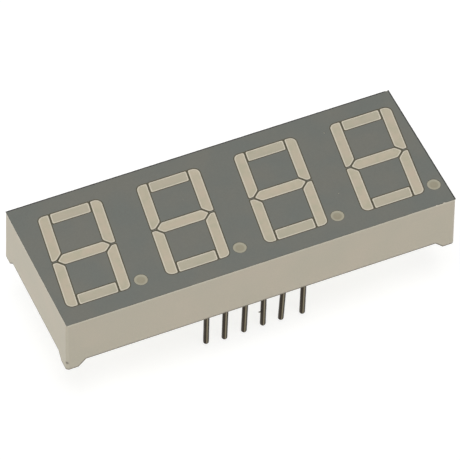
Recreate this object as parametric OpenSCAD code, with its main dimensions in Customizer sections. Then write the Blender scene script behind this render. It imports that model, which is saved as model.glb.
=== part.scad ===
// Four-digit seven segment display module, 0.56 inch digits, 12 round pins.
// A white moulded reflector housing carries 32 light wells filled with milky epoxy. The front is
// printed grey round the segments. A circuit board with one bare LED chip under each well closes
// the wells from behind, and poured epoxy seals the board and the roots of the pins.
// Millimetres. +Z points out of the face, +X runs along the digits, +Y to the tops of the digits.
// The origin is under the middle of the module, in the plane of the pin tips.

/* [Housing] */
// Length of the face
body_l = 50.3; // [50:0.1:64]
// Width of the face
body_w = 19.1; // [19:0.1:25]
// Height from the face to the underside of the feet
body_h = 8.0; // [7:0.1:12]
// Height of the corner feet below the walls
foot_h = 1.0; // [0.4:0.1:1.6]
// Length of each foot along its wall, at its underside
foot_l = 1.4; // [0.8:0.1:3]
// Thickness of the side walls round the board
wall_t = 0.9; // [0.6:0.05:1.1]
// Mould draft of the outer walls, in degrees
draft = 1; // [0:0.25:2]
// Chamfer down the upright corners
corner_c = 0.25; // [0.05:0.05:0.6]
// Chamfer round the face
face_c = 0.06; // [0.02:0.01:0.2]
// Depth from the face to the circuit board
well_depth = 4.5; // [2.5:0.1:5]
// Thickness of the printed ink
ink_t = 0.03; // [0.02:0.01:0.1]

/* [Digits] */
// Number of digits
digit_count = 4; // [1:1:4]
// Distance between digits
digit_pitch = 12.7; // [10.5:0.1:12.7]
// Height of a digit
digit_h = 14.17; // [11.5:0.01:17]
// Width of a digit, measured square to its slant
digit_w = 8.1; // [6.7:0.05:8.2]
// Slant of the digits, in degrees
slant = 7.9; // [0:0.1:10]
// Shift of the digits to the right of the middle, which leaves room for the points
digit_shift = 0.07; // [-0.2:0.01:0.2]
// Width of the upright segments
upright_w = 1.36; // [1:0.01:1.6]
// Thickness of the level segments
bar_w = 1.5; // [1.1:0.05:1.8]
// Gap between neighbouring segments
seg_gap = 0.24; // [0.15:0.01:0.4]
// Height of the mitred ends at the waist
mitre = 0.98; // [0.8:0.01:1.2]
// Radius at the four outer corners of a digit
outer_r = 0.75; // [0.2:0.05:1]
// Diameter of a decimal point
dot_d = 1.64; // [1:0.01:1.8]
// Decimal point to the right of the digit's middle
dot_x = 4.57; // [4.4:0.01:5]
// Decimal point below the digit's middle
dot_y = 6.42; // [5:0.01:6.6]
// Size of a well at the board, as a share of its size at the face
well_taper = 0.62; // [0.5:0.01:0.9]

/* [Pins] */
// Pins in each row
pins_per_row = 6; // [2:1:8]
// Distance between pins in a row
pin_pitch = 2.54; // [2:0.01:2.54]
// Distance between the two rows
row_spacing = 15.24; // [12.7:0.01:15.24]
// Diameter of the round length of a pin
pin_d = 0.64; // [0.45:0.01:0.7]
// Length of pin below the feet
pin_reach = 6.6; // [3:0.1:12]
// Side of the square shank held in the board
shank_w = 0.44; // [0.3:0.01:0.48]

/* [Circuit board] */
// Thickness of the board
board_t = 1.0; // [0.6:0.1:1.2]
// Gap between the board's edge and the walls
board_gap = 0.2; // [0.1:0.05:0.4]
// Thickness of the copper
copper_t = 0.035; // [0.03:0.005:0.07]
// Hole for a pin's shank
pin_hole_d = 0.9; // [0.8:0.05:1]
// Diameter of the copper land round a pin
land_d = 1.5; // [1.2:0.05:1.6]
// Height of a solder fillet
fillet_h = 0.5; // [0.3:0.05:0.6]
// Width of the copper tracks
track_w = 0.35; // [0.2:0.05:0.5]
// Distance between the segment tracks on the back
track_pitch = 1.3; // [1:0.05:1.4]
// Diameter of the lands where a track reaches a segment
via_d = 0.7; // [0.5:0.05:0.9]
// Distance along the board between the lands of neighbouring tracks
via_pitch = 1.2; // [0.9:0.05:1.2]
// Depth of the poured epoxy's surface inside the rim
pour_recess = 0.3; // [0.1:0.05:0.5]
// Epoxy drawn up round the root of a pin, as a diameter
wick_d = 1.5; // [1:0.1:1.8]

/* [LED chips] */
// Side of a chip
chip_w = 0.3; // [0.2:0.02:0.4]
// Height of a chip
chip_h = 0.18; // [0.1:0.01:0.25]
// Distance from a chip to the pad of its bond wire
bond_span = 0.9; // [0.7:0.05:1]
// The same under a decimal point, where there is less room
dot_span = 0.5; // [0.42:0.02:0.54]
// Side of the copper pads under a chip and its wire
pad_w = 0.38; // [0.32:0.02:0.4]
// Diameter of the bond wire
wire_d = 0.03; // [0.025:0.005:0.05]

/* [Hidden] */
SEGMENTS = ["a", "b", "c", "d", "e", "f", "g"];

$fn = 48;
far = 2 * (body_l + body_w);      // longer than any cut needs to be
eps = 0.01;                       // overshoot of a cut

// heights, from the pin tips up
foot_z = pin_reach;               // underside of the feet
rim_z = foot_z + foot_h;          // lower edge of the walls
face_z = foot_z + body_h;         // printed face
plastic_z = face_z - ink_t;       // front of the white plastic
block_z = face_z - well_depth;    // back of the reflector block, where the copper lies on it
board_top = block_z - copper_t;
board_bot = board_top - board_t;
back_copper_z = board_bot - copper_t;
pour_z = rim_z + pour_recess;     // surface of the poured epoxy

// the pocket behind the reflector block, and the board in it
pocket_l = body_l - 2 * wall_t;
pocket_w = body_w - 2 * wall_t;
board_l = pocket_l - 2 * board_gap;
board_w = pocket_w - 2 * board_gap;

// inside a digit, before it is slanted
half_w = digit_w / 2;
half_h = digit_h / 2;
inner_u = half_w - upright_w;               // inner side of the upright segments
bar_end = inner_u - seg_gap;                // end of the top and bottom segments
tip_u = inner_u + mitre - seg_gap * sqrt(2); // point of the middle segment
bar_corner_r = 0.12;                        // small radius at the ends of the level segments

INK = "#75776f";
PLASTIC = "#d8d2c2";
EPOXY = "#bfb49e";
BOARD = "#5d7a45";
COPPER = "#b87a3d";
POUR = "#cfc9ae";
TIN = "#8d897e";
CHIP = "#8c8f94";
GOLD = "#d9a93a";

function flare(z) = (plastic_z - z) * tan(draft);
function digit_x(d) = (d - (digit_count + 1) / 2) * digit_pitch + digit_shift;
// pins count from the left of the front row, and back along the rear row
function pin_x(i) = (min(i, 2 * pins_per_row + 1 - i) - (pins_per_row + 1) / 2) * pin_pitch;
function pin_y(i) = (i <= pins_per_row ? -1 : 1) * row_spacing / 2;
// middle of segment s, after the slant
function seg_v(s) = s == 0 ? half_h - bar_w / 2 : s == 3 ? bar_w / 2 - half_h : s == 6 ? 0
    : (s == 1 || s == 5 ? 1 : -1) * half_h / 2;
function seg_u(s) = s == 1 || s == 2 ? half_w - upright_w / 2
    : s == 4 || s == 5 ? upright_w / 2 - half_w : 0;
function slanted(u, v) = [u + v * tan(slant), v];
function seg_mid(s) = s == 7 ? [dot_x, -dot_y] : slanted(seg_u(s), seg_v(s));
// a chip and its wire lie along Y in the uprights and the point, and along X in the level segments
function along_y(s) = s == 1 || s == 2 || s == 4 || s == 5 || s == 7;
function span(s) = s == 7 ? dot_span : bond_span;
function chip_at(s) = seg_mid(s) - (along_y(s) ? [0, span(s) / 2] : [span(s) / 2, 0]);
function pad_at(s) = seg_mid(s) + (along_y(s) ? [0, span(s) / 2] : [span(s) / 2, 0]);

// ---- housing ----

// A tapered slab along the direction turned by a, as wide as span at the face
module drafted_slab(span, a, per_flare, chamfer) {
    low = span / 2 + per_flare * flare(foot_z);
    rotate([0, 0, a]) rotate([90, 0, 0]) linear_extrude(height = far, center = true)
        polygon([
            [-low, foot_z], [low, foot_z],
            [span / 2 + per_flare * flare(plastic_z - chamfer), plastic_z - chamfer],
            [span / 2 - chamfer, plastic_z], [chamfer - span / 2, plastic_z],
            [-span / 2 - per_flare * flare(plastic_z - chamfer), plastic_z - chamfer]
        ]);
}

// The drafted outer block, with its upright corners and its face edge chamfered
module outer_block() {
    diagonal = (body_l + body_w - 2 * corner_c) / sqrt(2);
    intersection() {
        drafted_slab(body_l, 0, 1, face_c);
        drafted_slab(body_w, 90, 1, face_c);
        drafted_slab(diagonal, 45, sqrt(2), face_c);
        drafted_slab(diagonal, -45, sqrt(2), face_c);
    }
}

// What is cut from two opposite walls so that a foot is left at each end, with a sloping side
module between_feet(span, a) {
    low = span / 2 - foot_l;
    rotate([0, 0, a]) rotate([90, 0, 0]) linear_extrude(height = far, center = true)
        polygon([
            [-low, foot_z - eps], [low, foot_z - eps], [low, foot_z],
            [low - foot_h, rim_z], [foot_h - low, rim_z], [-low, foot_z]
        ]);
}

module board_pocket(z_low, z_high) {
    translate([-pocket_l / 2, -pocket_w / 2, z_low])
        cube([pocket_l, pocket_w, z_high - z_low]);
}

module reflector_housing() {
    color(PLASTIC) difference() {
        outer_block();
        board_pocket(foot_z - eps, block_z);
        between_feet(body_l, 0);
        between_feet(body_w, 90);
        for (d = [1 : digit_count], s = [0 : 7]) translate([digit_x(d), 0, 0]) well(s);
    }
}

// ---- segments ----

// A polygon whose listed corners are rounded: each item is [u, v, radius], slanted on the way
module rounded_outline(corners) {
    n = len(corners);
    p = [for (c = corners) slanted(c[0], c[1])];
    polygon([for (i = [0 : n - 1]) each arc_corner(p[(i + n - 1) % n], p[i], p[(i + 1) % n],
        corners[i][2])]);
}

// The points that replace corner b between a and c by an arc of radius r
function arc_corner(a, b, c, r) = r == 0 ? [b] :
    let (
        to_a = (a - b) / norm(a - b), to_c = (c - b) / norm(c - b),
        half = acos(to_a * to_c) / 2,
        middle = b + (to_a + to_c) / norm(to_a + to_c) * r / sin(half),
        first = b + to_a * r / tan(half), last = b + to_c * r / tan(half),
        a0 = atan2(first[1] - middle[1], first[0] - middle[0]),
        turn = atan2(last[1] - middle[1], last[0] - middle[0]) - a0,
        sweep = turn > 180 ? turn - 360 : turn < -180 ? turn + 360 : turn,
        steps = max(2, ceil(abs(sweep) / 18))
    )
    [for (k = [0 : steps]) middle + r * [cos(a0 + sweep * k / steps), sin(a0 + sweep * k / steps)]];

// Upright segment: side is 1 right or -1 left, level is 1 upper or -1 lower
module upright_2d(side, level) {
    foot_v = seg_gap / sqrt(2);
    rounded_outline([
        [side * inner_u, level * mitre, 0],
        [side * (inner_u + mitre - foot_v), level * foot_v, 0],
        [side * half_w, level * foot_v, 0],
        [side * half_w, level * half_h, outer_r],
        [side * inner_u, level * half_h, 0]
    ]);
}

// Level segment at the top (level 1) or the bottom (level -1)
module bar_2d(level) {
    rounded_outline([
        [-bar_end, level * half_h, bar_corner_r],
        [bar_end, level * half_h, bar_corner_r],
        [bar_end, level * (half_h - bar_w), 0],
        [-bar_end, level * (half_h - bar_w), 0]
    ]);
}

// Middle segment, pointed at both ends
module waist_2d() {
    rounded_outline([
        [-tip_u, 0, 0], [bar_w / 2 - tip_u, bar_w / 2, 0], [tip_u - bar_w / 2, bar_w / 2, 0],
        [tip_u, 0, 0], [tip_u - bar_w / 2, -bar_w / 2, 0], [bar_w / 2 - tip_u, -bar_w / 2, 0]
    ]);
}

// Segment s of a digit: 0 to 6 are a to g, and 7 is the decimal point
module segment_2d(s) {
    if (s == 0) bar_2d(1);
    if (s == 1) upright_2d(1, 1);
    if (s == 2) upright_2d(1, -1);
    if (s == 3) bar_2d(-1);
    if (s == 4) upright_2d(-1, -1);
    if (s == 5) upright_2d(-1, 1);
    if (s == 6) waist_2d();
    if (s == 7) translate([dot_x, -dot_y]) circle(d = dot_d);
}

// The light well of segment s: full size at the face, narrower at the board
module well(s) {
    depth = plastic_z - block_z;
    m = seg_mid(s);
    if (s == 7) translate([m[0], m[1], block_z])
        cylinder(h = depth, d1 = dot_d * well_taper, d2 = dot_d);
    else translate([m[0], m[1], plastic_z]) mirror([0, 0, 1])
        linear_extrude(height = depth, scale = well_taper) translate(-m) segment_2d(s);
}

// The epoxy in a well, with the chip and its wire cast into it
module well_fill(d, s) {
    color(EPOXY) translate([digit_x(d), 0, 0]) difference() {
        well(s);
        led_chip(s);
        bond_wire(s);
    }
}

module face_ink() {
    inset = 2 * face_c;
    color(INK) translate([0, 0, plastic_z]) linear_extrude(height = ink_t) difference() {
        square([body_l - inset, body_w - inset], center = true);
        for (d = [1 : digit_count], s = [0 : 7]) translate([digit_x(d), 0]) segment_2d(s);
    }
}

// ---- LED chips and bond wires, in a digit's own place ----

module led_chip(s) {
    translate([chip_at(s)[0], chip_at(s)[1], block_z + chip_h / 2])
        cube([chip_w, chip_w, chip_h], center = true);
}

// A half ring from the top of the chip, and a straight end down to the pad
module bond_wire(s) {
    translate([seg_mid(s)[0], seg_mid(s)[1], block_z]) rotate([0, 0, along_y(s) ? 90 : 0]) {
        translate([0, 0, chip_h]) rotate([90, 0, 0]) rotate_extrude(angle = 180)
            translate([span(s) / 2, 0]) circle(d = wire_d, $fn = 16);
        translate([span(s) / 2, 0, 0]) cylinder(h = chip_h, d = wire_d, $fn = 16);
    }
}

module led_chips(d) {
    color(CHIP) translate([digit_x(d), 0, 0]) for (s = [0 : 7]) led_chip(s);
}

module bond_wires(d) {
    color(GOLD) translate([digit_x(d), 0, 0]) for (s = [0 : 7]) bond_wire(s);
}

// ---- circuit board ----

module at_pins() {
    for (i = [1 : 2 * pins_per_row]) translate([pin_x(i), pin_y(i)]) children();
}

// A copper track from p to q
module track(p, q, w = track_w) {
    translate(p) circle(d = w);
    translate(q) circle(d = w);
    translate(p) rotate(atan2(q[1] - p[1], q[0] - p[0])) translate([0, -w / 2])
        square([norm(q - p), w]);
}

module circuit_board() {
    color(BOARD) difference() {
        translate([-board_l / 2, -board_w / 2, board_bot]) cube([board_l, board_w, board_t]);
        translate([0, 0, board_bot - eps]) at_pins() cylinder(h = board_t + 2 * eps, d = pin_hole_d);
    }
}

// Each digit's common: a loop inside its segments, with a branch to the pad under each chip
module common_2d() {
    u = bar_end - 2 * track_w;
    v = half_h - bar_w - 2 * track_w;
    corners = [slanted(-u, -v), slanted(u, -v), slanted(u, v), slanted(-u, v)];
    for (k = [0 : 3]) track(corners[k], corners[(k + 1) % 4]);
    for (s = [0 : 6]) {
        chip = chip_at(s);
        side = sign(seg_u(s));
        start = along_y(s) ? slanted(side * u, chip[1])
            : s == 6 ? slanted(-u, 0) : [chip[0], sign(seg_v(s)) * v];
        track(start, chip);
    }
    track(slanted(u, -v), chip_at(7));
}

// The pin lands, each digit's common, and a pad under every chip and every wire
module front_copper_2d() {
    at_pins() circle(d = land_d);
    for (d = [1 : digit_count]) translate([digit_x(d), 0]) {
        common_2d();
        for (s = [0 : 7]) {
            translate(chip_at(s)) square(pad_w, center = true);
            translate(pad_at(s)) square(pad_w, center = true);
        }
    }
}

module board_front_copper() {
    color(COPPER) translate([0, 0, board_top]) linear_extrude(height = copper_t) difference() {
        front_copper_2d();
        at_pins() circle(d = pin_hole_d);
    }
}

// The eight segment tracks along the back, with a land below each digit, and the pin lands
module back_copper_2d() {
    middle = 3.5;                 // of the eight tracks, counted from 0
    run = digit_x(digit_count) + middle * via_pitch;
    at_pins() circle(d = land_d);
    for (k = [0 : 7]) {
        y = (k - middle) * track_pitch;
        track([-run, y], [run, y]);
        for (d = [1 : digit_count]) translate([digit_x(d) + (k - middle) * via_pitch, y])
            circle(d = via_d);
    }
}

module board_back_copper() {
    color(COPPER) translate([0, 0, back_copper_z]) linear_extrude(height = copper_t) difference() {
        back_copper_2d();
        at_pins() circle(d = pin_hole_d);
    }
}

// Solder in each hole, with a fillet on the back
module solder_body() {
    translate([0, 0, back_copper_z]) cylinder(h = block_z - back_copper_z, d = pin_hole_d);
    translate([0, 0, back_copper_z - fillet_h])
        cylinder(h = fillet_h, d1 = pin_d + 0.1, d2 = land_d - 0.1);
}

module solder_joints() {
    color(TIN) at_pins() difference() {
        solder_body();
        shank();
    }
}

// ---- pins ----

// The square part of a pin, from the rim of the housing to the front copper
module shank() {
    translate([-shank_w / 2, -shank_w / 2, rim_z]) cube([shank_w, shank_w, block_z - rim_z]);
}

// Round below the rim, with a rounded tip, and square where the epoxy and the board hold it
module pin(i) {
    color(TIN) translate([pin_x(i), pin_y(i), 0]) {
        translate([0, 0, pin_d / 2]) sphere(d = pin_d);
        translate([0, 0, pin_d / 2]) cylinder(h = rim_z - pin_d / 2, d = pin_d);
        shank();
    }
}

// ---- poured epoxy ----

module back_potting() {
    color(POUR) difference() {
        union() {
            board_pocket(pour_z, block_z);
            translate([0, 0, rim_z]) at_pins()
                cylinder(h = pour_z - rim_z, d1 = pin_d + 0.1, d2 = wick_d);
        }
        translate([-board_l / 2, -board_w / 2, board_bot]) cube([board_l, board_w, far]);
        translate([0, 0, back_copper_z]) linear_extrude(height = copper_t + eps) back_copper_2d();
        at_pins() solder_body();
        at_pins() shank();
    }
}

// ---- output ----

reflector_housing();
face_ink();
circuit_board();
back_potting();
board_front_copper();
board_back_copper();
solder_joints();
for (i = [1 : 2 * pins_per_row])
    pin(i);
for (d = [1 : digit_count]) {
    for (s = [0 : 6])
        well_fill(d, s);
    well_fill(d, 7);
    led_chips(d);
    bond_wires(d);
}
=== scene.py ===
# %% [markdown]
# # A four-digit seven segment display, finished in Blender
#
# The module is a white moulded housing with 32 light wells. Each well holds milky epoxy over one
# LED chip, and the front is screen printed grey round the wells. A circuit board closes the wells
# from behind, and a layer of poured epoxy seals the board and the roots of twelve pins.
#
# The shapes and sizes come from the CAD model, which is loaded here as a fixed frame. This script
# adds what CAD leaves out: the finish of every material, and the small uneven forms that casting,
# printing and plating leave behind.

# %% Load the frame
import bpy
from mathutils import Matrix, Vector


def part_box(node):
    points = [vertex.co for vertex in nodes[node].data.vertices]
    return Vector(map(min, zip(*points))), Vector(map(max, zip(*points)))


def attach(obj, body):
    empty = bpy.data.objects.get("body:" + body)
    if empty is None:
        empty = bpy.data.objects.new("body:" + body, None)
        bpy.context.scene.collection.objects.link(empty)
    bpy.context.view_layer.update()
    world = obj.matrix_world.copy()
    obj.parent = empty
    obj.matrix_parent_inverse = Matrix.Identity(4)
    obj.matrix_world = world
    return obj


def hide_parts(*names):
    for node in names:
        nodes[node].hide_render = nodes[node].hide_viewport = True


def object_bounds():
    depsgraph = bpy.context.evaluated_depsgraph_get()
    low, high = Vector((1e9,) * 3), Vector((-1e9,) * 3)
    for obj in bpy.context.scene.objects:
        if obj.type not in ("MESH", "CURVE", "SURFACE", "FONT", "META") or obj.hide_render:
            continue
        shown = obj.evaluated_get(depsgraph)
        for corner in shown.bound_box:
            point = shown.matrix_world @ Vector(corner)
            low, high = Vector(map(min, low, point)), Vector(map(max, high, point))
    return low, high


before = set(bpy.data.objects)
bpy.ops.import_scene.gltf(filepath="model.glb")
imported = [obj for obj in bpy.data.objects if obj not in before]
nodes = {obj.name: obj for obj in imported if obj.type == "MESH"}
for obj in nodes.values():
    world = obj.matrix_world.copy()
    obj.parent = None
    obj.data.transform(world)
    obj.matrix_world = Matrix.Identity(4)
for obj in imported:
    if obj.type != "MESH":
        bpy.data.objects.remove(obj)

cad_low, cad_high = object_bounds()
print(f"{len(nodes)} CAD nodes in a box from {tuple(cad_low)} to {tuple(cad_high)} m")

# %% [markdown]
# ## Units and small helpers
#
# Blender works in metres and this object is 50 mm long, so lengths are written in millimetres and
# multiplied by `MM`. Colours are written as sRGB hex values, the way a colour picker shows them,
# and shader sockets want linear light, so one function turns one into the other.
#
# A shader is a graph of nodes. Building it in code is mostly "add a node, set some options, join
# some sockets", so one small function does that for every node. A setting is an option of the node
# itself. An input is a socket: give it a number, or another node's output to make a link.

# %% Helpers
import math

import bmesh
import bpy
from mathutils import Quaternion, Vector, noise
from mathutils.geometry import delaunay_2d_cdt

MM = 0.001


def linear(hex_colour):
    """An sRGB hex colour as linear red, green, blue and alpha."""
    shares = [int(hex_colour[k:k + 2], 16) / 255 for k in (1, 3, 5)]
    return [s / 12.92 if s <= 0.04045 else ((s + 0.055) / 1.055) ** 2.4 for s in shares] + [1.0]


def add(tree, kind, settings=(), inputs=()):
    """Adds a node and returns its first output. An input goes by its name, or by its number."""
    made = tree.nodes.new(kind)
    for name, value in dict(settings).items():
        setattr(made, name, value)
    live = [s for s in made.inputs if s.enabled]
    for name, value in dict(inputs).items():
        socket = live[name] if isinstance(name, int) else next(s for s in live if s.name == name)
        if isinstance(value, bpy.types.NodeSocket):
            tree.links.new(value, socket)
        else:
            socket.default_value = value
    return next((s for s in made.outputs if s.enabled), None)


def every(mm):
    """The scale of a pattern whose marks are this many millimetres apart."""
    return 1 / (mm * MM)


print("white is", linear("#ffffff"), "and marks 0.5 mm apart need a scale of", every(0.5))

# %% [markdown]
# ## The camera
#
# A small product is best shown from far away with a long lens, so that parallel edges stay
# nearly parallel. The camera here stands about half a metre off and looks down at the face from
# the front left. Its place is written as two angles and a distance from the point it looks at,
# because that is how a camera is walked round an object.

# %% Camera
VIEW_FROM, VIEW_DOWN, VIEW_ROLL = (math.radians(a) for a in (-24.8257, 49.6094, 1.4617))
VIEW_DISTANCE = 530.366
VIEW_LENS = 348.36
AIM_OFF_CENTRE = (-0.1467, -2.9397, 0)  # right and up from the middle of the face, as seen
NEAREST, FARTHEST = 0.05, 5             # metres, what the camera can see

ink_low, ink_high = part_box("face_ink")
face_z, plastic_z = ink_high.z / MM, ink_low.z / MM

towards_camera = Vector((
    math.sin(VIEW_FROM) * math.cos(VIEW_DOWN),
    -math.cos(VIEW_FROM) * math.cos(VIEW_DOWN),
    math.sin(VIEW_DOWN),
))
turn = (-towards_camera).to_track_quat("-Z", "Y") @ Quaternion((0, 0, 1), VIEW_ROLL)
aim = Vector((0, 0, face_z)) + turn @ Vector(AIM_OFF_CENTRE)

scene = bpy.context.scene
camera = bpy.data.objects.new("camera", bpy.data.cameras.new("camera"))
camera.data.lens = VIEW_LENS
camera.data.clip_start, camera.data.clip_end = NEAREST, FARTHEST
camera.rotation_mode = "QUATERNION"
camera.rotation_quaternion = turn
camera.location = (aim + towards_camera * VIEW_DISTANCE) * MM
scene.collection.objects.link(camera)
scene.camera = camera
print("camera at", [round(x / MM, 1) for x in camera.location], "mm")

# %% [markdown]
# ## A pale table and soft light
#
# Catalogue pictures of small parts are taken on a table of white acrylic that is lit from below
# as well as from above, so that the ground stays white and the shadow under the part stays faint.
# The floor is therefore a pale surface that also glows a little. The room round it is one large
# soft box, bright at the horizon and weaker overhead. Four soft lamps give the object its form:
# the top one lights the face, the back one keeps the rear walls from going dark, and the left one
# is stronger than the right one, so that the left wall reads brighter than the front wall.
#
# The view transform is Standard, so what is white on the table stays white in the picture.

# %% Floor, room and lamps
FLOOR_REACH = 3.0           # metres
TABLE_GLOW = 0.8            # 1 would show as pure white with no lamp on
ROOM_STRENGTH = 1.0
DIMS_FROM, DIMS_TO = 0.02, 0.1  # height in the room, where 0 is level and 1 is straight up
LAMPS = {                   # from, height in degrees, distance and width in mm, watts
    "left_lamp": (-105, 28, 500, 300, 0.46),
    "right_lamp": (22, 38, 500, 160, 0.1),
    "back_lamp": (115, 25, 500, 300, 0.35),
    "top_lamp": (-20, 80, 600, 400, 2.15),
}

scene.view_settings.view_transform = "Standard"


def start(name):
    """A new material, its empty node tree, and the place its patterns are measured from."""
    made = bpy.data.materials.new(name)
    made.use_nodes = True
    made.node_tree.nodes.clear()
    place = add(made.node_tree, "ShaderNodeTexCoord").node.outputs["Object"]
    return made, made.node_tree, place


def show(tree, shader, output="ShaderNodeOutputMaterial"):
    """Joins a finished shader to the output."""
    add(tree, output, inputs={"Surface": shader})


def sheet_of(name, points, material):
    """A flat sheet through these points, in millimetres."""
    mesh = bpy.data.meshes.new(name)
    mesh.from_pydata([[c * MM for c in p] for p in points], [], [range(len(points))])
    mesh.materials.append(material)
    made = bpy.data.objects.new(name, mesh)
    scene.collection.objects.link(made)
    return made


acrylic, tree, place = start("white_acrylic_table")
show(tree, add(tree, "ShaderNodeBsdfPrincipled", inputs={
    "Base Color": linear("#959593"), "Roughness": 0.8,
    "Emission Color": linear("#ffffff"), "Emission Strength": TABLE_GLOW}))
reach = FLOOR_REACH / MM
corners = [(x * reach, y * reach, cad_low.z / MM) for x, y in ((-1, -1), (1, -1), (1, 1), (-1, 1))]
sheet_of("floor", corners, acrylic)

room = bpy.data.worlds.new("room")
room.use_nodes = True
scene.world = room
tree = room.node_tree
tree.nodes.clear()
split = add(tree, "ShaderNodeSeparateXYZ", inputs={0: add(tree, "ShaderNodeTexCoord")})
overhead = add(tree, "ShaderNodeMapRange", inputs={
    "Value": split.node.outputs["Z"], "From Min": DIMS_FROM, "From Max": DIMS_TO})
glow = add(tree, "ShaderNodeMix", {"data_type": "RGBA"}, {
    "Factor": overhead, "A": linear("#e6e6e5"), "B": linear("#787878")})
show(tree, add(tree, "ShaderNodeBackground", inputs={"Color": glow, "Strength": ROOM_STRENGTH}),
     "ShaderNodeOutputWorld")

for name, (side_angle, up_angle, distance, width, watts) in LAMPS.items():
    lamp = bpy.data.objects.new(name, bpy.data.lights.new(name, "AREA"))
    lamp.data.size = width * MM
    lamp.data.energy = watts
    a, e = math.radians(side_angle), math.radians(up_angle)
    out = Vector((math.sin(a) * math.cos(e), -math.cos(a) * math.cos(e), math.sin(e)))
    lamp.location = out * distance * MM
    lamp.rotation_mode = "QUATERNION"
    lamp.rotation_quaternion = (-out).to_track_quat("-Z", "Y")
    scene.collection.objects.link(lamp)
print("lamps:", ", ".join(LAMPS))

# %% [markdown]
# ## Housing: moulded white plastic
#
# The housing is one injection moulding of white filled plastic. Its cavity was cut by spark
# erosion, which leaves a fine even grit on the walls, so the plastic looks satin and not glossy.
# White plastic of this kind yellows a little with age, and not evenly, so two close creams are
# mixed in soft clouds. The grit is about 0.05 mm on the real part, too fine to show here, so it
# is drawn at 0.16 mm.
#
# Light and shade are painted along the edges. The top edge is painted pale, as a highlight, the
# lower edge gets a painted hairline of shade, and a dark spot above one foot is the painted shade
# of a small nick. A Bevel node tells where the edges are: it eases the normal round every edge, so
# the further that normal turns from the true one, the nearer the edge is, and it tips up at a top
# edge and down at a lower one. A painted map could hold such marks too, but it would not follow
# the edges when the shape changes.
#
# The same recipe is used a second time, with paler creams, for the lips round the wells. That paler
# copy of the plastic is a painted highlight, so that the lips read as a light line.

# %% Moulded white plastic
EDGE = 0.4                  # mm, over which an edge is told from a flat
TIPS_FROM, TIPS_TO = 0.03, 0.2  # how far the eased normal tips where a mark begins and is full
PAINTED_EDGE_LIGHT_AND_SHADE = (              # up or down, tone, and the turn's cosine where it begins and is full
    # painted highlight along the top edges
    (1, "#dad4c4", 0.998, 0.98),
    # painted shade along the lower edges
    (-1, "#4a4539", 0.985, 0.94),
)
# painted shade: a dark spot where a small nick sits on the part; the nick's dent is not in the mesh
NICK, NICK_SIZE, NICK_SHADE = (-25.17, -9.57, 7.8), 0.3, "#5d574a"  # mm


def moulded_plastic(name, shade_a, shade_b):
    made, tree, place = start(name)
    clouds = add(tree, "ShaderNodeTexNoise", inputs={
        "Vector": place, "Scale": every(7), "Detail": 3.0, "Roughness": 0.6})
    grit = add(tree, "ShaderNodeTexNoise", inputs={
        "Vector": place, "Scale": every(0.16), "Detail": 2.0, "Roughness": 0.5})
    share = add(tree, "ShaderNodeMapRange", inputs={
        "Value": clouds, "From Min": 0.35, "From Max": 0.65})
    cream = add(tree, "ShaderNodeMix", {"data_type": "RGBA"}, {
        "Factor": share, "A": linear(shade_a), "B": linear(shade_b)})
    speck = add(tree, "ShaderNodeMapRange", inputs={
        "Value": grit, "From Min": 0.3, "From Max": 0.7, "To Min": 0.97, "To Max": 1.03})
    toned = add(tree, "ShaderNodeVectorMath", {"operation": "SCALE"}, {0: cream, "Scale": speck})

    outwards = add(tree, "ShaderNodeNewGeometry").node.outputs["Normal"]
    eased = add(tree, "ShaderNodeBevel", {"samples": 6}, {"Radius": EDGE * MM})
    turned = add(tree, "ShaderNodeVectorMath", {"operation": "DOT_PRODUCT"}, {
        0: eased, 1: outwards}).node.outputs["Value"]
    tilt = add(tree, "ShaderNodeSeparateXYZ", inputs={0: eased}).node.outputs["Z"]
    # painted highlight where the eased normal tips up, painted shade where it tips down
    for side, tone, starts, ends in PAINTED_EDGE_LIGHT_AND_SHADE:
        edge = add(tree, "ShaderNodeMapRange", inputs={
            "Value": turned, "From Min": starts, "From Max": ends})
        faced = add(tree, "ShaderNodeMapRange", inputs={
            "Value": tilt, "From Min": TIPS_FROM * side, "From Max": TIPS_TO * side,
            "To Max": 0.95})
        edge_light_and_shade = add(tree, "ShaderNodeMath", {"operation": "MULTIPLY"}, {0: edge, 1: faced})
        toned = add(tree, "ShaderNodeMix", {"data_type": "RGBA"}, {
            "Factor": edge_light_and_shade, "A": toned, "B": linear(tone)})
    # painted shade of the nick, full within a third of its size
    nick_far = add(tree, "ShaderNodeVectorMath", {"operation": "DISTANCE"}, {
        0: place, 1: [c * MM for c in NICK]}).node.outputs["Value"]
    nick = add(tree, "ShaderNodeMapRange", inputs={
        "Value": nick_far, "From Min": NICK_SIZE * MM, "From Max": NICK_SIZE * MM / 3,
        "To Max": 0.8})
    toned = add(tree, "ShaderNodeMix", {"data_type": "RGBA"}, {
        "Factor": nick, "A": toned, "B": linear(NICK_SHADE)})

    satin = add(tree, "ShaderNodeMapRange", inputs={
        "Value": grit, "To Min": 0.42, "To Max": 0.6})
    relief = add(tree, "ShaderNodeBump", inputs={
        "Height": grit, "Strength": 0.25, "Distance": 0.01 * MM})
    show(tree, add(tree, "ShaderNodeBsdfPrincipled", inputs={
        "Base Color": toned, "Roughness": satin, "Normal": relief, "IOR": 1.54}))
    return made


plastic = moulded_plastic("moulded_white_plastic", "#bcb5a2", "#c1b7a4")
# a paler copy of the plastic: painted highlight for the lips
lip_plastic_painted_pale = moulded_plastic("white_plastic_with_painted_highlight", "#d6cfbd", "#dbd2bf")
print("made", plastic.name, "and", lip_plastic_painted_pale.name)
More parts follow.
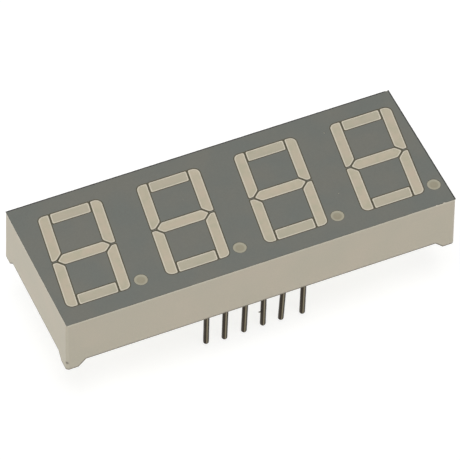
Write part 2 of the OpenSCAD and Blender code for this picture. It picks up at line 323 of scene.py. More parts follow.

# %% [markdown]
# ## Face: screen-printed grey ink
#
# The grey round the digits is a two-part ink, pushed through a woven screen. It dries matt and
# very even, with a faint grain from the mesh and slow drifts in tone where the layer is thicker.
# The weave is about 0.1 mm on a real screen; it is drawn at 0.22 mm so that it shows at all.
#
# Two darker copies of the ink paint shade into the print: a brown band of painted shade along each
# window, and a nearly black line of painted shade along the back and right edges of the face. One
# recipe makes all three inks.

# %% Screen-printed ink
def printed_ink(name, shade_a, shade_b):
    made, tree, place = start(name)
    drift = add(tree, "ShaderNodeTexNoise", inputs={
        "Vector": place, "Scale": every(5), "Detail": 2.0, "Roughness": 0.5})
    grain = add(tree, "ShaderNodeTexNoise", inputs={
        "Vector": place, "Scale": every(0.22), "Detail": 2.0, "Roughness": 0.6})
    share = add(tree, "ShaderNodeMapRange", inputs={
        "Value": drift, "From Min": 0.35, "From Max": 0.65})
    grey = add(tree, "ShaderNodeMix", {"data_type": "RGBA"}, {
        "Factor": share, "A": linear(shade_a), "B": linear(shade_b)})
    even = add(tree, "ShaderNodeMapRange", inputs={
        "Value": grain, "From Min": 0.3, "From Max": 0.7, "To Min": 0.96, "To Max": 1.04})
    toned = add(tree, "ShaderNodeVectorMath", {"operation": "SCALE"}, {0: grey, "Scale": even})
    matt = add(tree, "ShaderNodeMapRange", inputs={
        "Value": grain, "To Min": 0.6, "To Max": 0.75})
    relief = add(tree, "ShaderNodeBump", inputs={
        "Height": grain, "Strength": 0.3, "Distance": 0.008 * MM})
    show(tree, add(tree, "ShaderNodeBsdfPrincipled", inputs={
        "Base Color": toned, "Roughness": matt, "Normal": relief, "IOR": 1.5}))
    return made


ink = printed_ink("screen_printed_grey_ink", "#71746e", "#76766e")
# painted shade: a dark brown band of ink round each window
ink_shade_band = printed_ink("ink_painted_shade_at_the_windows", "#55503f", "#5a5544")
# painted shade: a nearly black line of ink along the back and right edges of the face
ink_edge_shade = printed_ink("ink_painted_shade_along_the_edge", "#2f2f2b", "#363630")
print("made", ink.name, ink_shade_band.name, ink_edge_shade.name)

# %% [markdown]
# ## Windows: milky cast epoxy
#
# Each well is filled with clear epoxy that holds a fine white powder, which spreads the light of
# the chip below. Unlit, it looks like skimmed milk over cream: the pale well shows through, a
# little warmer over the middle, where the chip and its copper pad lie. The powder settles in
# uneven clouds between one and two millimetres across. `Generated` coordinates run from 0 to 1
# across each piece, so the warm patch finds the middle of every window by itself.
#
# The wells differ in shape, and so do their tones. The uprights are the palest and the bars a
# little duller. The round points are narrow and deep: they are the darkest, with a brown middle
# inside a lighter ring.

# %% Milky epoxy
def milky_epoxy(name, milk, cream, warm, core, reach, evenness):
    """Clouds of two tones, and a warm one that is full up to core and gone at reach.

    Core and reach are shares of the window's size. Evenness is the least share of the warm tone
    that shows through the clouds.
    """
    made, tree, place = start(name)
    across = tree.nodes["Texture Coordinate"].outputs["Generated"]
    clouds = add(tree, "ShaderNodeTexNoise", inputs={
        "Vector": place, "Scale": every(1.4), "Detail": 3.0, "Roughness": 0.6})
    share = add(tree, "ShaderNodeMapRange", inputs={
        "Value": clouds, "From Min": 0.35, "From Max": 0.65})
    body = add(tree, "ShaderNodeMix", {"data_type": "RGBA"}, {
        "Factor": share, "A": linear(milk), "B": linear(cream)})
    off = add(tree, "ShaderNodeVectorMath", {"operation": "SUBTRACT"}, {
        0: across, 1: (0.5, 0.5, 0)})
    flat = add(tree, "ShaderNodeVectorMath", {"operation": "MULTIPLY"}, {0: off, 1: (1, 1, 0)})
    far = add(tree, "ShaderNodeVectorMath", {"operation": "LENGTH"}, {
        0: flat}).node.outputs["Value"]
    near = add(tree, "ShaderNodeMapRange", {"interpolation_type": "SMOOTHSTEP"}, {
        "Value": far, "From Min": core, "From Max": reach, "To Min": 0.9, "To Max": 0.0})
    patch = add(tree, "ShaderNodeMapRange", inputs={"Value": share, "To Min": evenness})
    patchy = add(tree, "ShaderNodeMath", {"operation": "MULTIPLY"}, {0: near, 1: patch})
    toned = add(tree, "ShaderNodeMix", {"data_type": "RGBA"}, {
        "Factor": patchy, "A": body, "B": linear(warm)})
    ripple = add(tree, "ShaderNodeTexNoise", inputs={
        "Vector": place, "Scale": every(0.5), "Detail": 1.0})
    relief = add(tree, "ShaderNodeBump", inputs={
        "Height": ripple, "Strength": 0.2, "Distance": 0.01 * MM})
    gloss = add(tree, "ShaderNodeMapRange", inputs={
        "Value": clouds, "To Min": 0.3, "To Max": 0.42})
    show(tree, add(tree, "ShaderNodeBsdfPrincipled", inputs={
        "Base Color": toned, "Roughness": gloss, "Normal": relief, "IOR": 1.55}))
    return made


upright_epoxy = milky_epoxy(
    "milky_cast_epoxy", "#bfb8a1", "#c8bea8", "#c9baa6", 0.0, 0.75, 0.0)
bar_epoxy = milky_epoxy(
    "milky_cast_epoxy_in_the_bars", "#bab49f", "#bfb7a3", "#c1b6a3", 0.0, 0.6, 0.0)
point_epoxy = milky_epoxy(
    "milky_cast_epoxy_in_the_points", "#afab97", "#b2ac98", "#9c947f", 0.26, 0.4, 0.7)
print("made", upright_epoxy.name, bar_epoxy.name, point_epoxy.name)

# %% [markdown]
# ## Pins and solder: tarnished plating
#
# The pins are brass wire with a thin plating of tin and silver. On a part that has lain about for
# years the plating turns a dull grey brown, darker in streaks along the wire. It is still metal,
# so it mirrors its surroundings: a dark base colour keeps that reflection low, and a middling
# roughness smears it. The streaks run along Z, so the noise is stretched that way.
#
# A brighter stripe down the front and the back of each pin is a painted highlight. The normal
# alone tells where: its share towards the highlighted side, raised to a high power, is near 1 only
# in a narrow band.
#
# The solder, the copper tracks and the gold wires are hidden inside, and share the recipe without
# the stripe.

# %% Tarnished plating
# painted highlight: the side of the pins whose stripe is painted lighter
HIGHLIGHT_SIDE = (-0.12, -0.99, 0)
STRIPE_POWER = 60.0         # the higher, the narrower the stripe


def plated_metal(name, dark, light, rough, streak=(1, 1, 1), highlight_tone=None):
    made, tree, place = start(name)
    drawn = add(tree, "ShaderNodeVectorMath", {"operation": "MULTIPLY"}, {0: place, 1: streak})
    film = add(tree, "ShaderNodeTexNoise", inputs={
        "Vector": drawn, "Scale": every(0.35), "Detail": 3.0, "Roughness": 0.6})
    share = add(tree, "ShaderNodeMapRange", inputs={
        "Value": film, "From Min": 0.35, "From Max": 0.65})
    toned = add(tree, "ShaderNodeMix", {"data_type": "RGBA"}, {
        "Factor": share, "A": linear(dark), "B": linear(light)})
    if highlight_tone:
        # painted highlight: a lighter stripe where the normal faces that side
        outwards = add(tree, "ShaderNodeNewGeometry").node.outputs["Normal"]
        facing = add(tree, "ShaderNodeVectorMath", {"operation": "DOT_PRODUCT"}, {
            0: outwards, 1: HIGHLIGHT_SIDE}).node.outputs["Value"]
        either = add(tree, "ShaderNodeMath", {"operation": "ABSOLUTE"}, {0: facing})
        stripe = add(tree, "ShaderNodeMath", {"operation": "POWER"}, {0: either, 1: STRIPE_POWER})
        toned = add(tree, "ShaderNodeMix", {"data_type": "RGBA"}, {
            "Factor": stripe, "A": toned, "B": linear(highlight_tone)})
    dull = add(tree, "ShaderNodeMapRange", inputs={
        "Value": film, "To Min": rough - 0.08, "To Max": rough + 0.08})
    relief = add(tree, "ShaderNodeBump", inputs={
        "Height": film, "Strength": 0.2, "Distance": 0.02 * MM})
    show(tree, add(tree, "ShaderNodeBsdfPrincipled", inputs={
        "Base Color": toned, "Metallic": 1.0, "Roughness": dull, "Normal": relief}))
    return made


# the last colour is the painted highlight stripe
tarnish = plated_metal(
    "tarnished_tin_silver_plating", "#332d26", "#403930", 0.32, (1, 1, 0.2), "#958c76")
solder = plated_metal("dull_solder", "#8f8f8a", "#b3b2aa", 0.38)
copper = plated_metal("etched_copper", "#a8683a", "#c98a55", 0.4)
gold = plated_metal("drawn_gold_wire", "#d9a441", "#efc46a", 0.25)
print("made", tarnish.name, solder.name, copper.name, gold.name)

# %% [markdown]
# ## Circuit board, chips and the poured back
#
# The board is woven glass in epoxy resin under a green solder mask. Its weave shows as a fine
# check, about 0.5 mm from thread to thread, which two crossed waves draw. The chips are bare
# squares of grey semiconductor.
#
# The back is sealed with clear epoxy that has gone hazy. It could be true glass with an absorbing
# volume, but a haze that only lets part of the board show is told well, and far more cheaply, by
# an alpha of about a half with a glossy surface over it.

# %% Board, chips and poured epoxy
THREAD = 0.5                # mm
ONE_BAND = 2 * math.pi / 20     # the scale at which a Wave texture has one band in each unit


def masked_board():
    made, tree, place = start("green_masked_glass_board")
    threads = [
        add(tree, "ShaderNodeTexWave", {"bands_direction": axis}, {
            "Vector": place, "Scale": every(THREAD) * ONE_BAND, "Distortion": 0.4})
        for axis in ("X", "Y")
    ]
    weave = add(tree, "ShaderNodeMath", {"operation": "ADD"},
                {0: threads[0].node.outputs["Fac"], 1: threads[1].node.outputs["Fac"]})
    share = add(tree, "ShaderNodeMath", {"operation": "MULTIPLY"}, {0: weave, 1: 0.5})
    green = add(tree, "ShaderNodeMix", {"data_type": "RGBA"}, {
        "Factor": share, "A": linear("#2f6a3e"), "B": linear("#3d7a49")})
    relief = add(tree, "ShaderNodeBump", inputs={
        "Height": share, "Strength": 0.2, "Distance": 0.01 * MM})
    show(tree, add(tree, "ShaderNodeBsdfPrincipled", inputs={
        "Base Color": green, "Roughness": 0.35, "Normal": relief, "IOR": 1.55}))
    return made


def bare_chip():
    made, tree, place = start("diced_semiconductor")
    dice = add(tree, "ShaderNodeTexNoise", inputs={"Vector": place, "Scale": every(0.08)})
    grey = add(tree, "ShaderNodeMix", {"data_type": "RGBA"}, {
        "Factor": dice, "A": linear("#6f7378"), "B": linear("#a9a38c")})
    show(tree, add(tree, "ShaderNodeBsdfPrincipled", inputs={
        "Base Color": grey, "Roughness": 0.3, "Metallic": 0.3}))
    return made


def hazy_epoxy():
    made, tree, place = start("hazy_poured_epoxy")
    haze = add(tree, "ShaderNodeTexNoise", inputs={
        "Vector": place, "Scale": every(4), "Detail": 4.0, "Roughness": 0.6})
    specks = add(tree, "ShaderNodeTexVoronoi", inputs={"Vector": place, "Scale": every(1.6)})
    share = add(tree, "ShaderNodeMapRange", inputs={
        "Value": haze, "From Min": 0.35, "From Max": 0.65})
    straw = add(tree, "ShaderNodeMix", {"data_type": "RGBA"}, {
        "Factor": share, "A": linear("#cfc7a6"), "B": linear("#ded8c0")})
    bubble = add(tree, "ShaderNodeMapRange", inputs={
        "Value": specks, "From Min": 0.05, "From Max": 0.09, "To Min": 0.25, "To Max": 0.0})
    thick = add(tree, "ShaderNodeMapRange", inputs={
        "Value": haze, "From Min": 0.3, "From Max": 0.7, "To Min": 0.3, "To Max": 0.48})
    cover = add(tree, "ShaderNodeMath", {"operation": "ADD"}, {0: thick, 1: bubble})
    show(tree, add(tree, "ShaderNodeBsdfPrincipled", inputs={
        "Base Color": straw, "Roughness": 0.12, "Alpha": cover, "IOR": 1.55}))
    return made


board, chip, pour = masked_board(), bare_chip(), hazy_epoxy()
print("made", board.name, chip.name, pour.name)

# %% [markdown]
# ## Every carried CAD node gets its material
#
# The CAD nodes whose shape is right stay as they are. They only trade the plain material they
# came with for the finish of their own stuff. A node's name says what it is, so the finish is
# found by the words in the name.

# %% Materials on the CAD nodes
FINISH_BY_WORD = {
    "housing": plastic, "face_ink": ink, "circuit_board": board, "potting": pour,
    "copper": copper, "solder": solder, "pin_": tarnish,
    "segment_a": bar_epoxy, "segment_d": bar_epoxy, "segment": upright_epoxy,
    "decimal_point": point_epoxy, "chips": chip, "wires": gold,
}

for name, node in nodes.items():
    finish = next(f for word, f in FINISH_BY_WORD.items() if word in name)
    node.data.materials.clear()
    node.data.materials.append(finish)
print("finished", len(nodes), "CAD nodes")

# %% [markdown]
# ## Outlines from the CAD model
#
# The printed sheet, the lips of the wells and the epoxy surfaces all follow the same 32 window
# outlines. Copying those numbers would make a second drawing of the digits that could drift from
# the first, so they are read from the top of the CAD ink instead. An edge between two triangles
# is met once in each direction and cancels; what is left runs round each outline.

# %% Reading the window outlines
LEVEL = 0.001               # mm, how far a corner may lie below the top


def top_outlines(name):
    """The closed outlines, in millimetres, round the level faces at the top of a CAD node."""
    mesh = nodes[name].data
    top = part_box(name)[1].z
    edges = set()
    for face in mesh.polygons:
        corners = [mesh.vertices[v].co for v in face.vertices]
        if all(top - c.z < LEVEL * MM for c in corners):
            spots = [(round(c.x / MM, 4), round(c.y / MM, 4)) for c in corners]
            edges |= set(zip(spots, spots[1:] + spots[:1]))
    ahead = {a: b for a, b in edges if (b, a) not in edges}
    outlines = []
    while ahead:
        loop = [min(ahead)]
        while loop[-1] in ahead:
            loop.append(ahead.pop(loop[-1]))
        outlines.append([Vector(p) for p in loop[:-1]])
    return outlines


def middle_of(loop):
    xs, ys = [p.x for p in loop], [p.y for p in loop]
    return Vector(((min(xs) + max(xs)) / 2, (min(ys) + max(ys)) / 2))


def span_of(loop):
    return max(p.x for p in loop) - min(p.x for p in loop)


*window_outlines, face_outline = sorted(top_outlines("face_ink"), key=span_of)
print(len(window_outlines), "windows in a face", round(span_of(face_outline), 2), "mm long")

# %% [markdown]
# ## Outlines a little smaller or larger
#
# A band of painted shade lies just outside a window, a lip just inside it, and the epoxy inside
# that, so the same outline is needed at many distances. Moving each side along its own normal keeps
# the distance even, which scaling would not do for a long thin window.
#
# The CAD model rounds some corners with arcs of very short sides. Those would turn inside out when
# they are moved, so the corners are first made sharp, then moved, and rounded again at the end.
# The rounding also gives every window the soft corners that a screen prints.

# %% Moving and rounding outlines
SCREEN_CORNER = 0.2         # mm
CORNER_STEPS = 4
NEARLY_STRAIGHT = math.radians(155)
TINY_ARC = 0.06             # mm, the longest side of an arc that is left out
HAIR = 0.002                # mm, a gap too small to see


def moved_in(loop, by):
    """An outline that runs anticlockwise, moved inwards by a distance (outwards if negative)."""
    moved = []
    for back, here, ahead in zip(loop[-1:] + loop[:-1], loop, loop[1:] + loop[:1]):
        a, b = (here - back).normalized(), (ahead - here).normalized()
        side_a, side_b = Vector((-a.y, a.x)), Vector((-b.y, b.x))
        moved.append(here + (side_a + side_b) / (1 + side_a.dot(side_b)) * by)
    return moved


def softened(loop, by):
    """An outline whose sharp corners are cut back by a distance and rounded."""
    soft = []
    for back, here, ahead in zip(loop[-1:] + loop[:-1], loop, loop[1:] + loop[:1]):
        a, b = back - here, ahead - here
        if a.angle(b) > NEARLY_STRAIGHT:
            soft.append(here)
            continue
        first, last = (here + s.normalized() * min(by, s.length / 3) for s in (a, b))
        for t in (k / CORNER_STEPS for k in range(CORNER_STEPS + 1)):
            soft.append((1 - t) ** 2 * first + 2 * t * (1 - t) * here + t * t * last)
    return soft


def window_ring(loop, by):
    """A window's outline moved in by a distance, with its corners as round as a screen prints."""
    return softened(moved_in(loop, by), SCREEN_CORNER)


def sharpened(loop):
    """An outline without the tiny arcs at its corners, so that it can be moved by any amount."""
    sides = [(a, b) for a, b in zip(loop, loop[1:] + loop[:1]) if (b - a).length > TINY_ARC]
    corners = []
    for (a, b), (c, d) in zip(sides, sides[1:] + sides[:1]):
        u, v = b - a, d - c
        corners.append(b if (c - b).length < HAIR else a + u * (c - a).cross(v) / u.cross(v))
    return corners


windows = [sharpened(loop[::-1]) for loop in window_outlines]
print("sides of each window:", sorted(len(loop) for loop in windows))

# %% [markdown]
# ## Making pieces from rings of points
#
# Most pieces below are skins over a stack of rings that have the same number of points: a pin, a
# lip round a well, an epoxy surface. One function turns rings into faces and another turns the
# points and faces into an object that rides on the CAD body. Every piece is closed and its faces
# look outwards.

# %% Pieces from rings
def skin(rings, closed=True):
    """Points and faces of a skin over rings, with capped ends, or ends joined if not closed."""
    size = len(rings[0])
    points = [p for ring in rings for p in ring]
    steps = len(rings) - 1 if closed else len(rings)
    faces = [
        (r * size + k, r * size + (k + 1) % size,
         (r + 1) % len(rings) * size + (k + 1) % size, (r + 1) % len(rings) * size + k)
        for r in range(steps) for k in range(size)
    ]
    if closed:
        faces += [tuple(reversed(range(size))), tuple(range(len(points) - size, len(points)))]
    return points, faces


def piece(name, points, faces, materials, slot, smooth_below=40, finish_of=None):
    """An object from points in millimetres, smooth where its faces meet at less than an angle."""
    mesh = bpy.data.meshes.new(name)
    mesh.from_pydata([[c * MM for c in p] for p in points], [], faces)
    for material in materials:
        mesh.materials.append(material)
    if finish_of:
        mesh.polygons.foreach_set("material_index", finish_of)
    form = bmesh.new()
    form.from_mesh(mesh)
    bmesh.ops.recalc_face_normals(form, faces=form.faces)
    form.to_mesh(mesh)
    form.free()
    mesh.shade_smooth()
    mesh.set_sharp_from_angle(angle=math.radians(smooth_below))
    made = bpy.data.objects.new(name, mesh)
    scene.collection.objects.link(made)
    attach(made, "root")
    return made


def together(parts):
    """Several sets of points and faces as one set."""
    points, faces = [], []
    for more_points, more_faces in parts:
        faces += [tuple(k + len(points) for k in face) for face in more_faces]
        points += more_points
    return points, faces


def at_height(loop, z):
    return [(p.x, p.y, z) for p in loop]


# %% [markdown]
# ## The printed face: its edge
#
# The ink is a sheet 0.03 mm thick that runs to the very edge of the face. What makes it look
# printed is that it is not perfect. Its outer edge is a little ragged, with a chip at one corner
# and two by the front edge, where the white plastic shows, and there are three pinholes where
# dust sat on the screen. Slow noise moves the points of the border in, and a chip moves the
# points near it in further.

# %% Border and pinholes
TO_EDGE = 0.055             # mm from the CAD ink's border out to the chamfer of the housing
BORDER_STEP = 0.1           # mm
RAGGED, RAGGED_EVERY = 0.012, 1 / 3     # mm
CHIPS = ((24.83, 9.46, 0.22), (23.6, -9.5, 0.16), (22.6, -9.5, 0.12))  # x, y and size, mm
PINHOLES = ((15.0, 6.2, 0.07), (12.6, -3.25, 0.06), (-4.9, 3.1, 0.04))  # x, y and radius, mm
PINHOLE_SIDES = 9
ON_EDGE = 0.01              # mm, within which a point counts as lying on an edge

face_half = (ink_high.x / MM + TO_EDGE, ink_high.y / MM + TO_EDGE)


def corners_of(wide, deep):
    return [(-wide, -deep), (wide, -deep), (wide, deep), (-wide, deep)]


def ragged_border():
    """The outer edge of the print with its small chips."""
    wide, deep = face_half
    corners = corners_of(wide, deep)
    border = []
    for (x0, y0), (x1, y1) in zip(corners, corners[1:] + corners[:1]):
        count = int(max(abs(x1 - x0), abs(y1 - y0)) / BORDER_STEP)
        for k in range(count):
            spot = Vector((x0 + (x1 - x0) * k / count, y0 + (y1 - y0) * k / count))
            rough = noise.noise((spot.x / RAGGED_EVERY, spot.y / RAGGED_EVERY, 0.5))
            inwards = RAGGED * (1 + rough)
            for x, y, size in CHIPS:
                inwards += max(0.0, size - (spot - Vector((x, y))).length)
            pull = Vector((-spot.x if abs(spot.x) > wide - ON_EDGE else 0,
                           -spot.y if abs(spot.y) > deep - ON_EDGE else 0)).normalized()
            border.append(spot + pull * inwards)
    return border


border = ragged_border()
turns = [2 * math.pi * k / PINHOLE_SIDES for k in range(PINHOLE_SIDES)]
pinholes = [[Vector((x + size * math.cos(a), y + size * math.sin(a))) for a in turns]
            for x, y, size in PINHOLES]
print(len(border), "points along the border and", len(pinholes), "pinholes")

# %% [markdown]
# ## The printed face: one sheet with its windows
#
# The bands of painted shade at each window and along the back and right edges are parts of the same
# sheet in darker copies of the ink, so the sheet needs lines where the inks meet.
#
# A Boolean could cut the windows from a plate, but a constrained triangulation does it in one go:
# it takes the outlines as lines that must stay, fills everything between them with triangles and
# says for each triangle which outlines hold it. That also tells which ink a triangle gets.

# %% Printed sheet
# painted shade: how far the dark band of ink reaches out from each window
WINDOW_SHADE_BAND = 0.13                 # mm, so that the beads meet in the narrow gaps between segments
POINT_SHADE_BAND = WINDOW_SHADE_BAND / 4       # the points stand alone and have hardly any
SMALL_WELL = 1.7            # mm, so that only the decimal points are smaller
# widths of the painted shade along the face's edges
NARROW_EDGE_SHADE, WIDE_EDGE_SHADE = 0.03, 0.16      # mm, at the front and left, and at the back and right
WHOLE_HULL, SAME_POINT = 0, 1e-6        # fill up to the hull; points closer than this are one

holes = [window_ring(loop, 0) for loop in windows] + pinholes
window_shade_bands = [window_ring(loop, -(WINDOW_SHADE_BAND if span_of(loop) > SMALL_WELL else POINT_SHADE_BAND))
         for loop in windows]
shift = Vector((WIDE_EDGE_SHADE - NARROW_EDGE_SHADE,) * 2) / 2
inner_half = (half - (NARROW_EDGE_SHADE + WIDE_EDGE_SHADE) / 2 for half in face_half)
inside_border = [Vector(c) - shift for c in corners_of(*inner_half)]

flat_points, rings = [], []
for loop in [border] + holes + window_shade_bands + [inside_border]:
    rings.append(list(range(len(flat_points), len(flat_points) + len(loop))))
    flat_points += loop
lines = [(a, b) for ring in rings for a, b in zip(ring, ring[1:] + ring[:1])]
spots, _, triangles, _, _, holders = delaunay_2d_cdt(
    flat_points, lines, rings, WHOLE_HULL, SAME_POINT)
print(len(triangles), "triangles between", len(rings), "outlines")

# %% [markdown]
# ## The printed face: from triangles to a sheet
#
# Each triangle outside the holes is kept twice, once at the top of the ink and once, turned over,
# at the plastic. A side that belongs to only one triangle lies on an edge of the sheet, and there
# a narrow upright face joins the top to the bottom.

# %% Sheet from the triangles
# AT_WINDOW and AT_BORDER take the darker inks, which paint shade
PLAIN, AT_WINDOW, AT_BORDER = 0, 1, 2       # places of the three inks in the piece's list
last_hole, last_loop = len(holes), len(rings) - 1


def ink_of(held):
    """Which ink a triangle gets, from the outlines that hold it."""
    if any(last_hole < h < last_loop for h in held):
        return AT_WINDOW
    return PLAIN if last_loop in held else AT_BORDER


kept = [(tuple(face), ink_of(held)) for face, held in zip(triangles, holders)
        if 0 in held and not any(0 < h <= last_hole for h in held)]
count = len(spots)
points = at_height(spots, face_z) + at_height(spots, plastic_z)
faces = [face for face, _ in kept] + [tuple(k + count for k in reversed(face)) for face, _ in kept]
finish_of = [finish for _, finish in kept] * 2
sides = {(a, b) for face, _ in kept for a, b in zip(face, face[1:] + face[:1])}
for a, b in sorted(sides):
    if (b, a) not in sides:
        faces.append((b, a, a + count, b + count))
        finish_of.append(AT_WINDOW)
printed = piece("printed_face", points, faces, [ink, ink_shade_band, ink_edge_shade], "face_ink",
                finish_of=finish_of)
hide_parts("face_ink")
print("printed face:", len(faces), "faces")

# %% [markdown]
# ## Lips of the wells
#
# The stencil leaves a hair of white plastic bare round every segment. It gets the paler copy of the
# plastic, a painted highlight, so that it shows as a light line inside the painted shade at the
# window. It stands a few hundredths of a millimetre proud of the epoxy. The lips are 28 thin rings
# in one piece; the decimal points are printed right up to their edge and have none.

# %% Lips
LIP = 0.14                  # mm wide
LIP_HEIGHT = 0.012          # mm, above and below the plastic's face

lips = []
for loop in windows:
    if span_of(loop) < SMALL_WELL:
        continue
    outer, inner = window_ring(loop, HAIR), window_ring(loop, LIP)
    low, high = plastic_z - LIP_HEIGHT, plastic_z + LIP_HEIGHT
    lips.append(skin([at_height(outer, low), at_height(outer, high),
                      at_height(inner, high), at_height(inner, low)], closed=False))
# the lips take the paler plastic, a painted highlight
piece("well_lips", *together(lips), [lip_plastic_painted_pale], "housing_plastic")
print(len(lips), "lips")

# %% [markdown]
# ## Epoxy in the wells
#
# The epoxy has shrunk as it set: it clings to the lip and sinks a few hundredths of a millimetre
# over the first quarter of a millimetre, then runs level. Each fill is a piece of its own that
# replaces its CAD node, so that every segment can still be lit by itself. It has the same taper
# down to the board. A displaced grid would do for the surface, but rings that follow the outline
# put the curve exactly where it belongs, with few faces.

# %% Epoxy fills
WELL_FOOT = 0.62            # the foot of a well, as a share of its window
SINK = ((0.0, 0.004), (0.05, 0.018), (0.11, 0.03), (0.19, 0.038), (0.28, 0.042))  # mm in, mm down

fill_nodes = [name for name in nodes if "segment_" in name or "decimal_point" in name]
for name in fill_nodes:
    low, high = (Vector(corner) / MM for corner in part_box(name))
    middle = ((low + high) / 2).to_2d()
    loop = min(windows, key=lambda w: (middle_of(w) - middle).length)
    foot = window_ring([middle_of(loop) + (p - middle_of(loop)) * WELL_FOOT for p in loop], 0)
    lip = HAIR if "point" in name else LIP
    levels = [at_height(foot, low.z)] + [
        at_height(window_ring(loop, lip + inwards), plastic_z - down) for inwards, down in SINK]
    finish = nodes[name].data.materials[0]
    fill = piece(f"{name}_fill", *skin(levels), [finish], "lens_epoxy", smooth_below=50)
    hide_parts(name)
print(len(fill_nodes), "fills")

# %% [markdown]
# ## Pins: the shape of one
#
# Each pin is a length of drawn wire. It was plated after cutting, so its tip is round, it is
# thicker than the bare wire, and it has soft swellings. Handling has bent most of them: just below
# the epoxy a pin is set over by up to a fifth of a millimetre, and from there it leans a degree or
# two. A lofted skin over rings can do all of that: the ring's middle moves away from the root, and
# its radius changes a little along the way. Above the rim the wire was coined square for the board.

# %% Rings of a pin
AROUND = 24                 # points in a ring
RING_STEP = 0.3             # mm
TIP_RINGS = 6
PLATED, SWELL = 1.13, 0.03  # the plated radius and its swellings, as shares of the wire's radius
BEND_RUN = 2.6              # mm of wire below the epoxy over which a pin is set over
SHANK = 0.22                # mm, half of the coined square
COINED_OVER = 0.1           # mm from round to square

root_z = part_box("back_potting")[0].z / MM  # where the epoxy's collar begins
pin_low, pin_high = (Vector(corner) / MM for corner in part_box("pin_1"))
pin_r = (pin_high.x - pin_low.x) / 2


def pin_ring(centre, z, radius, square=False):
    ring = []
    for k in range(AROUND):
        a = 2 * math.pi * k / AROUND
        reach = SHANK / max(abs(math.cos(a)), abs(math.sin(a))) if square else radius
        ring.append((centre.x + reach * math.cos(a), centre.y + reach * math.sin(a), z))
    return ring


def pin_skin(middle, lean, over, cut, seed):
    """Rings from the tip up: a round tip, the wire with its swellings, and the square shank."""
    def centre(z):
        drop = max(0.0, root_z - z)
        bend = over * (1 - math.cos(math.pi * min(1.0, drop / BEND_RUN))) / 2
        return middle - Vector((math.tan(math.radians(lean)) * drop + bend, 0))

    rings = []
    for k in range(1, TIP_RINGS + 1):
        a = math.pi / 2 * k / (TIP_RINGS + 1)
        rings.append(pin_ring(
            centre(cut), cut + pin_r * (1 - math.cos(a)), pin_r * PLATED * math.sin(a)))
    steps = int((root_z - pin_r) / RING_STEP)
    for k in range(steps + 1):
        z = cut + pin_r + (root_z - cut - pin_r) * k / steps
        swell = PLATED + SWELL * noise.noise((seed * 7.3, 0.0, z * 0.9))
        rings.append(pin_ring(centre(z), z, pin_r * swell))
    rings.append(pin_ring(middle, root_z + COINED_OVER, 0, square=True))
    rings.append(pin_ring(middle, pin_high.z, 0, square=True))
    return skin(rings)


print("a pin is", round(2 * pin_r, 3), "mm wire, bare, and", round(2 * pin_r * PLATED, 3), "plated")

# %% [markdown]
# ## Pins: all twelve
#
# No two are bent or cut quite alike, and the numbers are written out, because random ones would
# not give a believable row. One pin carries a burr, a sliver of plating that has lifted off its
# side.

# %% Twelve pins
LEANS = (0.2, 0.6, 1.0, 0.3, 2.0, 0.4, -0.5, 0.4, 1.0, -0.8, 0.7, -0.3)  # degrees, to the left
SET_OVER = (0.03, 0.09, 0.03, 0.17, 0.11, 0.02, 0, 0.05, 0.1, 0, 0.06, 0)  # mm, to the left
CUTS = (0.32, 0.03, 0.14, 0.24, 0.19, 0.0, 0.1, 0.2, 0.0, 0.15, 0.05, 0.25)  # mm too short
BURR_PIN = 4
BURR_AT, BURR_LENGTH, BURR_RISE = 2.7, 0.45, 0.5    # mm, mm, and its slope
BURR_HALVES = ((0, 0.1), (0.5, 0.06), (1, 0.01))    # share of the length, and half thickness in mm
INTO_WIRE = 0.9             # where the burr is rooted, as a share of the radius


def burr_skin(middle):
    """A sliver of plating that lifts off the left side of the wire, up and away from it."""
    left = pin_r * INTO_WIRE + SET_OVER[BURR_PIN - 1]
    root = Vector((middle.x - left, middle.y, BURR_AT))
    tip = root + Vector((-BURR_LENGTH, 0, BURR_LENGTH * BURR_RISE))
    rings = []
    for share, half in BURR_HALVES:
        at = root.lerp(tip, share)
        rings.append([(at.x, at.y - half, at.z - half), (at.x, at.y + half, at.z - half),
                      (at.x, at.y + half, at.z + half), (at.x, at.y - half, at.z + half)])
    return skin(rings)


for number, (lean, over, cut) in enumerate(zip(LEANS, SET_OVER, CUTS), 1):
    name = f"pin_{number}"
    low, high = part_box(name)
    middle = ((low + high) / 2).to_2d() / MM
    parts = [pin_skin(middle, lean, over, cut, number)]
    if number == BURR_PIN:
        parts.append(burr_skin(middle))
    wire = piece(f"{name}_wire", *together(parts), [tarnish], "tinned_pin")
    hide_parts(name)
print(len(LEANS), "pins,", sum(cut > 0 for cut in CUTS), "of them cut short")

# %% [markdown]
# ## The poured back: its surface
#
# Epoxy is poured over the board from behind and sets with a surface of its own. It climbs the
# walls and the pins, and it is lowest between them. That curve is a meniscus, and it falls off
# exponentially with the distance from what the liquid wets. The surface is a grid whose height is
# worked out from those distances, with a slow wave on top and a few small craters where bubbles
# burst.

# %% Height of the pour
POUR_RECESS = 0.3                     # mm from the collars down to the level pour
WALL_CLIMB, PIN_CLIMB = 0.2, 0.42     # mm
CLIMB_REACH = 0.5                     # mm, over which the climb falls to about a third
WAVE, WAVE_EVERY = 0.04, 4            # mm
CRATERS, CRATER_DEPTH, CRATER_RADIUS = 9, 0.08, 0.25    # how many, mm, mm
SPREAD = 1.6                          # widens the noise, which seldom comes near 1

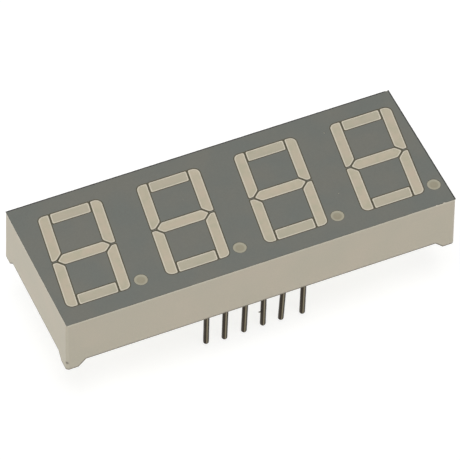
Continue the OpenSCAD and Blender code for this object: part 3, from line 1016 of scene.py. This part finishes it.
pour_high = Vector(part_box("back_potting")[1]) / MM
pocket_x, pocket_y = pour_high.x - HAIR, pour_high.y - HAIR
pour_level = root_z + POUR_RECESS
pins_at = [((a + b) / 2).to_2d() / MM
           for a, b in (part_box(f"pin_{n + 1}") for n in range(len(LEANS)))]
craters = [Vector((noise.noise((k * 1.7, 3.1, 0)) * SPREAD * pocket_x,
                   noise.noise((k * 2.3, 8.9, 0)) * SPREAD * pocket_y)) for k in range(CRATERS)]


def pour_height(x, y):
    here = Vector((x, y))
    wall = min(pocket_x - abs(x), pocket_y - abs(y))
    pin = max(0.0, min((here - p).length for p in pins_at) - pin_r)
    climb = WALL_CLIMB * math.exp(-wall / CLIMB_REACH) + PIN_CLIMB * math.exp(-pin / CLIMB_REACH)
    wave = WAVE * noise.noise((x / WAVE_EVERY, y / WAVE_EVERY, 1.5))
    crater = sum(CRATER_DEPTH * math.exp(-((here - c).length / CRATER_RADIUS) ** 2)
                 for c in craters)
    return pour_level - climb + wave + crater


print("pour at", round(pour_height(0, 0), 2), "mm in the middle and",
      round(pour_height(pocket_x, 0), 2), "mm at the wall")

# %% [markdown]
# ## The poured back: its block
#
# The grid is closed to a block: an upright face under every outer side of the grid, and one flat
# face at the copper on the back of the board.

# %% Poured back
GRID = 0.22                 # mm

across, up = (max(2, round(2 * half / GRID)) for half in (pocket_x, pocket_y))
points = [
    (x, y, pour_height(x, y))
    for x, y in ((-pocket_x + 2 * pocket_x * i / across, -pocket_y + 2 * pocket_y * j / up)
                 for j in range(up + 1) for i in range(across + 1))
]
row = across + 1
faces = [(j * row + i, (j + 1) * row + i, (j + 1) * row + i + 1, j * row + i + 1)
         for j in range(up) for i in range(across)]
rim = [*range(row)]
rim += [j * row + across for j in range(1, up + 1)]
rim += [up * row + i for i in range(across - 1, -1, -1)]
rim += [j * row for j in range(up - 1, 0, -1)]
back_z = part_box("board_back_copper")[0].z / MM - HAIR
first, size = len(points), len(rim)
points += [(points[k][0], points[k][1], back_z) for k in rim]
faces += [(rim[k], rim[(k + 1) % size], first + (k + 1) % size, first + k) for k in range(size)]
faces.append(tuple(range(first, first + size)))
poured = piece("poured_back", points, faces, [pour], "pour_epoxy")
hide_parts("back_potting")
print("poured back:", len(faces), "faces")
